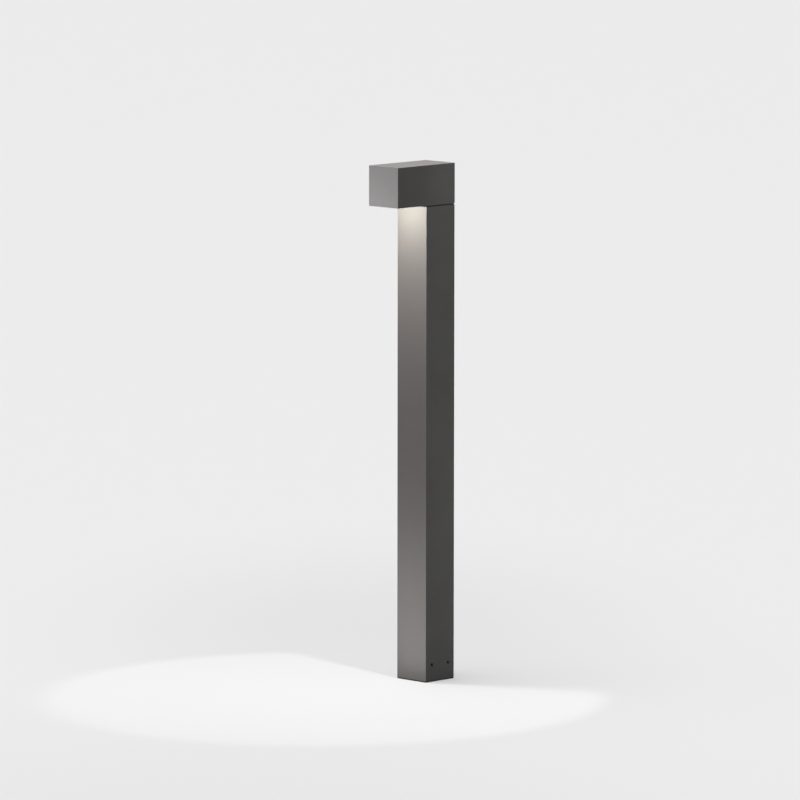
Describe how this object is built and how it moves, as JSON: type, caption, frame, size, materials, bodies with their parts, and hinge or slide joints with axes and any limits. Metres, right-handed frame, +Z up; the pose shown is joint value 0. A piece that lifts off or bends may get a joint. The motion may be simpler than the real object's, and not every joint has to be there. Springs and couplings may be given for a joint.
{
  "type": "bollard light",
  "caption": "Square bollard light: a slim post on a cast foot, with a box-shaped head that reaches forward over its front face and lights the ground.",
  "frame": {"origin": "on the post's axis, on the ground, in the middle of the foot's underside", "axes": "+Z up along the post; the head reaches forward along -Y; +X is the side face with two of the four foot screws, on the right when the light is seen from its front"},
  "size_m": [0.07, 0.14, 0.9],
  "materials": {
    "graphite_coating": "satin, finely textured powder coating",
    "dark_casting": "matt dark dip coating on a casting",
    "bare_aluminium": "machined, satin",
    "bright_reflector": "bright anodised sheet",
    "galvanised_sheet": "galvanised",
    "stainless_steel": "satin",
    "black_steel": "black oxide",
    "clear_glass": "clear toughened, polished edges",
    "grey_silicone": "matt silicone",
    "black_rubber": "matt",
    "black_plastic": "fine moulded texture",
    "grey_plastic": "fine moulded texture",
    "white_plastic": "smooth moulded",
    "white_solder_mask": "white solder mask on an aluminium board",
    "lit_lens": "clear moulded lenses, lit warm white"
  },
  "bodies": {
    "base": {"box_bracket": "galvanised_sheet", "box_screw": "stainless_steel", "bracket_screw_left": "stainless_steel", "bracket_screw_right": "stainless_steel", "cable_bush_left": "black_rubber", "cable_bush_right": "black_rubber", "cable_gland_left": "black_plastic", "cable_gland_right": "black_plastic", "connection_box_cover": "grey_plastic", "connection_box_tray": "grey_plastic", "cover_screw_left": "stainless_steel", "cover_screw_right": "stainless_steel", "earth_screw": "stainless_steel", "mounting_base": "dark_casting", "supply_socket": "black_plastic", "terminal_block": "white_plastic"},
    "post": {"board_screw_left": "stainless_steel", "board_screw_right": "stainless_steel", "bulkhead_grommet": "black_rubber", "driver_screw_lower": "stainless_steel", "driver_screw_upper": "stainless_steel", "floor_grommet": "black_rubber", "foot_set_screw_left_front": "black_steel", "foot_set_screw_left_rear": "black_steel", "foot_set_screw_right_front": "black_steel", "foot_set_screw_right_rear": "black_steel", "frame_screw_left_front": "stainless_steel", "frame_screw_left_rear": "stainless_steel", "frame_screw_right_front": "stainless_steel", "frame_screw_right_rear": "stainless_steel", "gear_tray": "galvanised_sheet", "glass_frame": "graphite_coating", "glass_gasket": "grey_silicone", "head_housing": "graphite_coating", "head_screw_left_front": "stainless_steel", "head_screw_left_rear": "stainless_steel", "head_screw_right_front": "stainless_steel", "head_screw_right_rear": "stainless_steel", "heat_spreader": "bare_aluminium", "led_board": "white_solder_mask", "led_connector": "white_plastic", "led_driver": "white_plastic", "led_lead": "grey_silicone", "lens_array": "lit_lens", "neck_adapter": "dark_casting", "neck_set_screw_left": "black_steel", "neck_set_screw_right": "black_steel", "nut_plate_left": "galvanised_sheet", "nut_plate_right": "galvanised_sheet", "post_tube": "graphite_coating", "reflector": "bright_reflector", "safety_glass": "clear_glass", "spreader_screw_left": "stainless_steel", "spreader_screw_right": "stainless_steel", "supply_lead": "black_rubber", "supply_plug": "black_plastic", "thermal_pad": "grey_silicone", "tray_screw_left": "stainless_steel", "tray_screw_right": "stainless_steel"}
  },
  "joints": [
    {"name": "post_lift", "type": "slide", "parent": "base", "child": "post", "axis": [0, 0, 1], "range_m": [0, 0.17]}
  ]
}
